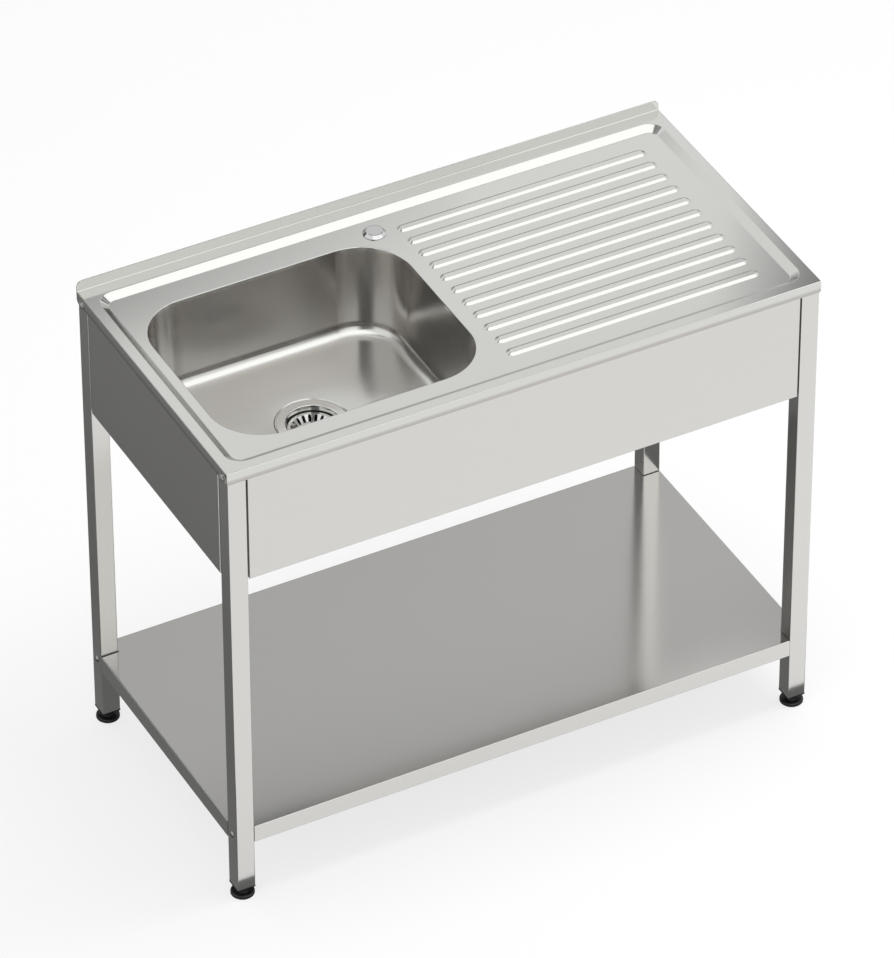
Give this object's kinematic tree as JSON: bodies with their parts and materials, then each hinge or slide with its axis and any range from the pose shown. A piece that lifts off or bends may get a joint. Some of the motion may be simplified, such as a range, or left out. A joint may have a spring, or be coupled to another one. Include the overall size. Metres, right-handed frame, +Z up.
{
  "type": "kitchen sink unit",
  "caption": "Free-standing stainless steel sink unit with a left bowl, ribbed drainer, rear upstand, square tube legs, aprons and an open shelf.",
  "frame": {"origin": "on the floor, below the middle of the top", "axes": "+X to the right and +Y to the rear as seen from the front, +Z up"},
  "size_m": [1.0064, 0.508, 0.848],
  "materials": {
    "stainless_sheet": "satin",
    "galvanised_channel": "matt",
    "plated_steel": "bright",
    "bright_steel": "polished",
    "chrome_plate": "polished",
    "black_plastic": "satin",
    "white_plastic": "satin",
    "black_rubber": "matt",
    "damping_felt": "matt"
  },
  "bodies": {
    "stand": {"sink_top": "stainless_sheet", "front_apron": "stainless_sheet", "rear_apron": "stainless_sheet", "left_apron": "stainless_sheet", "right_apron": "stainless_sheet", "leg_front_left": "stainless_sheet", "leg_front_right": "stainless_sheet", "leg_rear_left": "stainless_sheet", "leg_rear_right": "stainless_sheet", "leg_plug_front_left": "black_plastic", "leg_plug_front_right": "black_plastic", "leg_plug_rear_left": "black_plastic", "leg_plug_rear_right": "black_plastic", "shelf": "stainless_sheet", "shelf_stiffener": "galvanised_channel", "drainer_stiffener_left": "galvanised_channel", "drainer_stiffener_right": "galvanised_channel", "leg_top_screws": "plated_steel", "leg_top_nuts": "plated_steel", "shelf_bolts": "plated_steel", "shelf_nuts": "plated_steel", "waste_flange": "bright_steel", "waste_flange_seal": "black_rubber", "waste_gasket": "black_rubber", "waste_body": "black_plastic", "waste_clamp_screw": "plated_steel", "bowl_sound_pad": "damping_felt"},
    "basket": {"basket_strainer": "bright_steel", "basket_seal": "black_rubber", "basket_knob": "black_plastic"},
    "tap_cover": {"tap_hole_cover": "chrome_plate", "tap_hole_clip": "white_plastic"},
    "foot_front_left": {"foot_pad_front_left": "black_plastic"},
    "stud_front_left": {"foot_stud_front_left": "plated_steel"},
    "foot_front_right": {"foot_pad_front_right": "black_plastic"},
    "stud_front_right": {"foot_stud_front_right": "plated_steel"},
    "foot_rear_left": {"foot_pad_rear_left": "black_plastic"},
    "stud_rear_left": {"foot_stud_rear_left": "plated_steel"},
    "foot_rear_right": {"foot_pad_rear_right": "black_plastic"},
    "stud_rear_right": {"foot_stud_rear_right": "plated_steel"}
  },
  "joints": [
    {"name": "basket_lift", "type": "slide", "parent": "stand", "child": "basket", "axis": [0, 0, 1], "range_m": [0, 0.045]},
    {"name": "tap_cover_pull", "type": "slide", "parent": "stand", "child": "tap_cover", "axis": [0, 0, 1], "range_m": [0, 0.02]},
    {"name": "foot_height_front_left", "type": "slide", "parent": "stand", "child": "foot_front_left", "axis": [0, 0, -1], "range_m": [0, 0.015]},
    {"name": "stud_turn_front_left", "type": "hinge", "parent": "foot_front_left", "child": "stud_front_left", "pos_m": [-0.4832, -0.2352, 0.013], "axis": [0, 0, -1], "range_deg": [0, 3600]},
    {"name": "foot_height_front_right", "type": "slide", "parent": "stand", "child": "foot_front_right", "axis": [0, 0, -1], "range_m": [0, 0.015]},
    {"name": "stud_turn_front_right", "type": "hinge", "parent": "foot_front_right", "child": "stud_front_right", "pos_m": [0.4832, -0.2352, 0.013], "axis": [0, 0, -1], "range_deg": [0, 3600]},
    {"name": "foot_height_rear_left", "type": "slide", "parent": "stand", "child": "foot_rear_left", "axis": [0, 0, -1], "range_m": [0, 0.015]},
    {"name": "stud_turn_rear_left", "type": "hinge", "parent": "foot_rear_left", "child": "stud_rear_left", "pos_m": [-0.4832, 0.2352, 0.013], "axis": [0, 0, -1], "range_deg": [0, 3600]},
    {"name": "foot_height_rear_right", "type": "slide", "parent": "stand", "child": "foot_rear_right", "axis": [0, 0, -1], "range_m": [0, 0.015]},
    {"name": "stud_turn_rear_right", "type": "hinge", "parent": "foot_rear_right", "child": "stud_rear_right", "pos_m": [0.4832, 0.2352, 0.013], "axis": [0, 0, -1], "range_deg": [0, 3600]}
  ],
  "couplings": [
    {"joint": "stud_turn_front_left", "follows": "foot_height_front_left", "rad_per_m": 4188.8},
    {"joint": "stud_turn_front_right", "follows": "foot_height_front_right", "rad_per_m": 4188.8},
    {"joint": "stud_turn_rear_left", "follows": "foot_height_rear_left", "rad_per_m": 4188.8},
    {"joint": "stud_turn_rear_right", "follows": "foot_height_rear_right", "rad_per_m": 4188.8}
  ]
}
